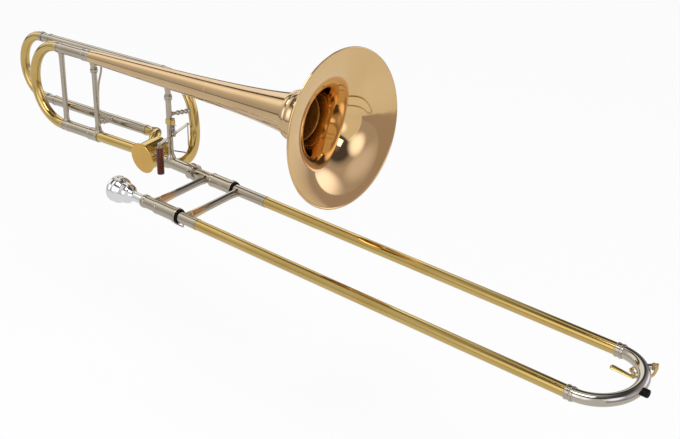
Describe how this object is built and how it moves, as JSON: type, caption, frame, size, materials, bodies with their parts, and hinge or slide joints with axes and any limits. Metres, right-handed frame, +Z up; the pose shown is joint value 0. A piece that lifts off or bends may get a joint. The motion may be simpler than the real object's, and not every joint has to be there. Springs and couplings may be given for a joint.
{
  "type": "tenor trombone",
  "caption": "Tenor trombone with a flared rose-brass bell, a rotary valve and thumb trigger for its attachment tubing, and a long hand slide with mouthpiece.",
  "frame": {"origin": "centre of the rubber bumper's flat end, midway between the slide's two tubes", "axes": "+X forwards along the hand slide, out of the bumper's face; +Y from the mouthpiece side to the bell side; +Z up, from the slide towards the bell"},
  "size_m": [1.2301, 0.2444, 0.2808],
  "materials": {
    "yellow_brass": "polished and lacquered",
    "rose_brass": "polished and lacquered, redder alloy",
    "nickel_silver": "polished nickel silver",
    "silver_plate": "silver-plated, mirror polish",
    "black_rubber": "matte",
    "cork": "cork",
    "rosewood": "polished dark wood",
    "dark_steel": "darkened steel"
  },
  "bodies": {
    "bell_section": {"bell_stem": "rose_brass", "stem_ring": "rose_brass", "bell_ferrule": "nickel_silver", "neck_ferrule": "nickel_silver", "upper_tuning_sleeve": "nickel_silver", "lower_tuning_sleeve": "nickel_silver", "neck_tube": "yellow_brass", "gooseneck": "nickel_silver", "valve_casing": "yellow_brass", "valve_cover": "yellow_brass", "f_upper_tube": "nickel_silver", "f_lower_tube": "nickel_silver", "f_elbow": "yellow_brass", "f_front_crook": "yellow_brass", "f_strut": "nickel_silver", "middle_brace": "nickel_silver", "bell_brace": "nickel_silver", "rear_f_brace": "nickel_silver", "front_f_brace": "nickel_silver", "trigger_bracket": "yellow_brass", "trigger_pivot": "dark_steel", "trigger_spring": "dark_steel"},
    "bell_flare": {"bell_flare": "rose_brass", "flare_ring": "rose_brass"},
    "main_tuning_slide": {"tuning_crook": "yellow_brass", "upper_tuning_leg": "nickel_silver", "lower_tuning_leg": "nickel_silver", "tuning_brace": "nickel_silver"},
    "f_tuning_slide": {"f_rear_crook": "yellow_brass", "f_upper_leg": "nickel_silver", "f_lower_leg": "nickel_silver"},
    "rotor": {"valve_rotor": "yellow_brass", "rotor_arm": "yellow_brass"},
    "link": {"linkage_rod": "dark_steel"},
    "trigger": {"trigger_lever": "nickel_silver"},
    "roller": {"thumb_roller": "rosewood"},
    "inner_slide": {"near_cork_barrel": "nickel_silver", "far_cork_barrel": "nickel_silver", "near_inner_tube": "nickel_silver", "far_inner_tube": "nickel_silver", "near_bumper_ring": "black_rubber", "far_bumper_ring": "black_rubber", "mouthpiece_receiver": "nickel_silver", "inner_slide_brace": "nickel_silver"},
    "lock_nut": {"bell_lock_nut": "nickel_silver"},
    "slide_lock": {"slide_lock_ring": "nickel_silver"},
    "mouthpiece": {"mouthpiece": "silver_plate"},
    "hand_slide": {"near_slide_sleeve": "nickel_silver", "far_slide_sleeve": "nickel_silver", "near_outer_tube": "yellow_brass", "far_outer_tube": "yellow_brass", "near_bow_ferrule": "nickel_silver", "far_bow_ferrule": "nickel_silver", "slide_bow": "silver_plate", "outer_slide_brace": "nickel_silver", "rubber_bumper": "black_rubber", "water_key_saddle": "yellow_brass"},
    "water_key": {"water_key_lever": "yellow_brass", "water_key_pad": "cork", "water_key_spring": "dark_steel"}
  },
  "joints": [
    {"name": "flare_screw", "type": "hinge", "parent": "bell_section", "child": "bell_flare", "pos_m": [-0.87975, 0.06424, 0.1265], "axis": [0.9983, 0, 0.0588], "range_deg": [0, 360]},
    {"name": "main_tuning_pull", "type": "slide", "parent": "bell_section", "child": "main_tuning_slide", "axis": [-0.9983, 0, -0.0588], "range_m": [0, 0.045]},
    {"name": "f_tuning_pull", "type": "slide", "parent": "bell_section", "child": "f_tuning_slide", "axis": [-0.9983, 0, -0.0588], "range_m": [0, 0.055]},
    {"name": "rotor_turn", "type": "hinge", "parent": "bell_section", "child": "rotor", "pos_m": [-0.86967, 0.05325, 0.00135], "axis": [0.0022, -0.9993, -0.0366], "range_deg": [0, 90]},
    {"name": "link_swing", "type": "hinge", "parent": "rotor", "child": "link", "pos_m": [-0.87607, 0.08523, -0.00599], "axis": [0.0022, -0.9993, -0.0366], "range_deg": [-90, 0]},
    {"name": "trigger_press", "type": "hinge", "parent": "bell_section", "child": "trigger", "pos_m": [-0.81839, 0.05315, 0.00317], "axis": [0.0586, -0.0872, -0.9945], "range_deg": [0, 18.5], "stiffness_Nm_per_rad": 0.25, "springref_deg": -20.05},
    {"name": "roller_spin", "type": "hinge", "parent": "trigger", "child": "roller", "pos_m": [-0.80164, 0.01031, 0.00792], "axis": [-0.0586, 0.0872, 0.9945], "continuous": true},
    {"name": "slide_swivel", "type": "hinge", "parent": "bell_section", "child": "inner_slide", "pos_m": [-0.7523, 0.05315, 0], "axis": [1, 0, 0], "range_deg": [-15, 15]},
    {"name": "lock_nut_turn", "type": "hinge", "parent": "inner_slide", "child": "lock_nut", "pos_m": [-0.7523, 0.05315, 0], "axis": [1, 0, 0], "range_deg": [0, 360]},
    {"name": "slide_lock_turn", "type": "hinge", "parent": "inner_slide", "child": "slide_lock", "pos_m": [-0.7523, -0.05315, 0], "axis": [1, 0, 0], "range_deg": [0, 25]},
    {"name": "mouthpiece_pull", "type": "slide", "parent": "inner_slide", "child": "mouthpiece", "axis": [-1, 0, 0], "range_m": [0, 0.016]},
    {"name": "hand_slide_out", "type": "slide", "parent": "inner_slide", "child": "hand_slide", "axis": [1, 0, 0], "range_m": [0, 0.58]},
    {"name": "water_key_press", "type": "hinge", "parent": "hand_slide", "child": "water_key", "pos_m": [-0.0388, 0.03315, -0.0068], "axis": [-0.6691, 0.7431, 0], "range_deg": [0, 12], "stiffness_Nm_per_rad": 0.08, "springref_deg": -17.19}
  ],
  "couplings": [
    {"joint": "trigger_press", "follows": "rotor_turn", "ratio": 0.20556},
    {"joint": "link_swing", "follows": "rotor_turn", "ratio": -1}
  ]
}
